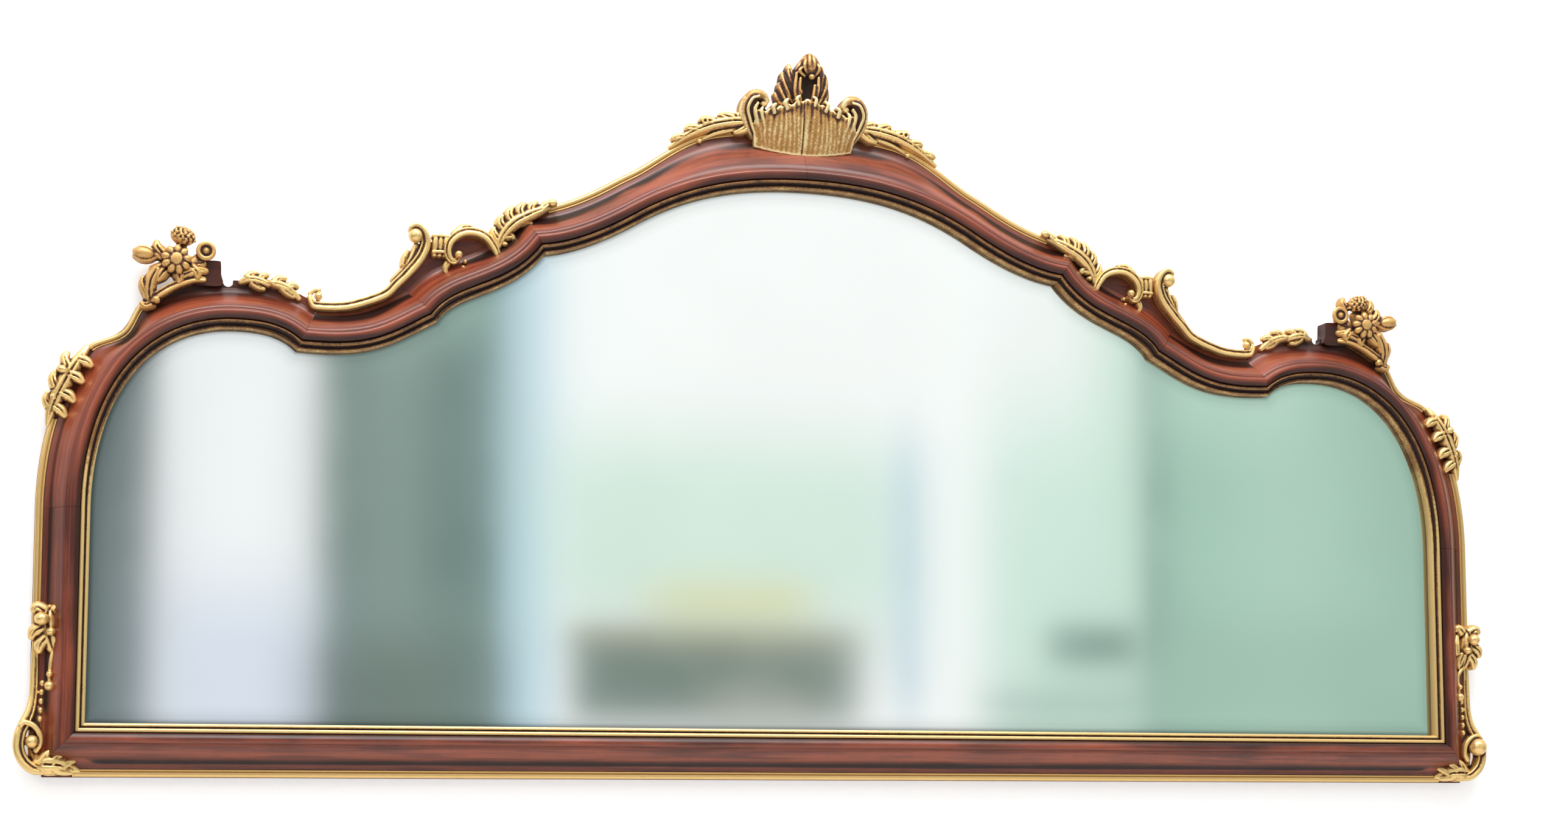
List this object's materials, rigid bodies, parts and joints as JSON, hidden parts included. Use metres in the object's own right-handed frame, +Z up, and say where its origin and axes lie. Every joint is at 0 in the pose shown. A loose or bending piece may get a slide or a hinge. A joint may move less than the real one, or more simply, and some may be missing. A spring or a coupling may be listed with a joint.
{
  "type": "overmantel mirror",
  "caption": "Wide low overmantel mirror with a serpentine arched mahogany frame, gilt slip and bead, and carved gilt crest, scrolls, finials and corner volutes.",
  "frame": {"origin": "middle of the frame's bottom edge, in the plane of the wall", "axes": "+X to the right along the bottom edge, +Y into the wall, +Z up; the glass faces -Y"},
  "size_m": [1.8198, 0.0459, 0.891],
  "materials": {
    "moulding": "polished red mahogany, darker in the hollow",
    "slip": "oil gilding on wood, pale and worn on the reeds",
    "bead": "oil gilding on wood, worn on the reeds",
    "carving": "oil gilding on carved wood, pale on the crowns and brown in the hollows",
    "aged_carving": "older, browner oil gilding on carved wood",
    "plate": "silvered on the back, slightly soft with age",
    "packing": "plain sawn softwood",
    "backboard": "plain planed softwood",
    "hanger": "plain stamped steel"
  },
  "bodies": {
    "root": {"bottom_rail": "moulding", "stile_right": "moulding", "stile_left": "moulding", "shoulder_right": "moulding", "shoulder_left": "moulding", "dip_right": "moulding", "dip_left": "moulding", "knee_right": "moulding", "knee_left": "moulding", "arch_right": "moulding", "arch_left": "moulding", "slip_bottom": "slip", "slip_side_right": "slip", "slip_side_left": "slip", "slip_dip_right": "slip", "slip_dip_left": "slip", "slip_knee_right": "slip", "slip_knee_left": "slip", "slip_arch_right": "slip", "slip_arch_left": "slip", "bead_bottom": "bead", "bead_side_right": "bead", "bead_side_left": "bead", "bead_shoulder_right": "bead", "bead_shoulder_left": "bead", "bead_arch_right": "bead", "bead_arch_left": "bead", "side_knot_right": "carving", "corner_volute_right": "carving", "corner_leaf_right": "carving", "side_knot_left": "carving", "corner_volute_left": "carving", "corner_leaf_left": "carving", "shoulder_leaf_right": "carving", "shoulder_leaf_left": "carving", "finial_scroll_right": "aged_carving", "finial_scroll_left": "aged_carving", "finial_bouquet_right": "aged_carving", "finial_bouquet_left": "aged_carving", "top_spray_right": "carving", "top_spray_left": "carving", "long_scroll_right": "carving", "long_scroll_left": "carving", "link_block_right": "aged_carving", "link_block_left": "aged_carving", "small_scroll_right": "carving", "small_scroll_left": "carving", "acanthus_right": "carving", "acanthus_left": "carving", "crest_shell": "carving", "crest_plume": "aged_carving", "crest_spray_right": "carving", "crest_spray_left": "carving", "mirror_plate": "plate", "packing_right": "packing", "packing_left": "packing", "backboard_right": "backboard", "backboard_left": "backboard", "hanger_right": "hanger", "hanger_left": "hanger"}
  },
  "joints": []
}
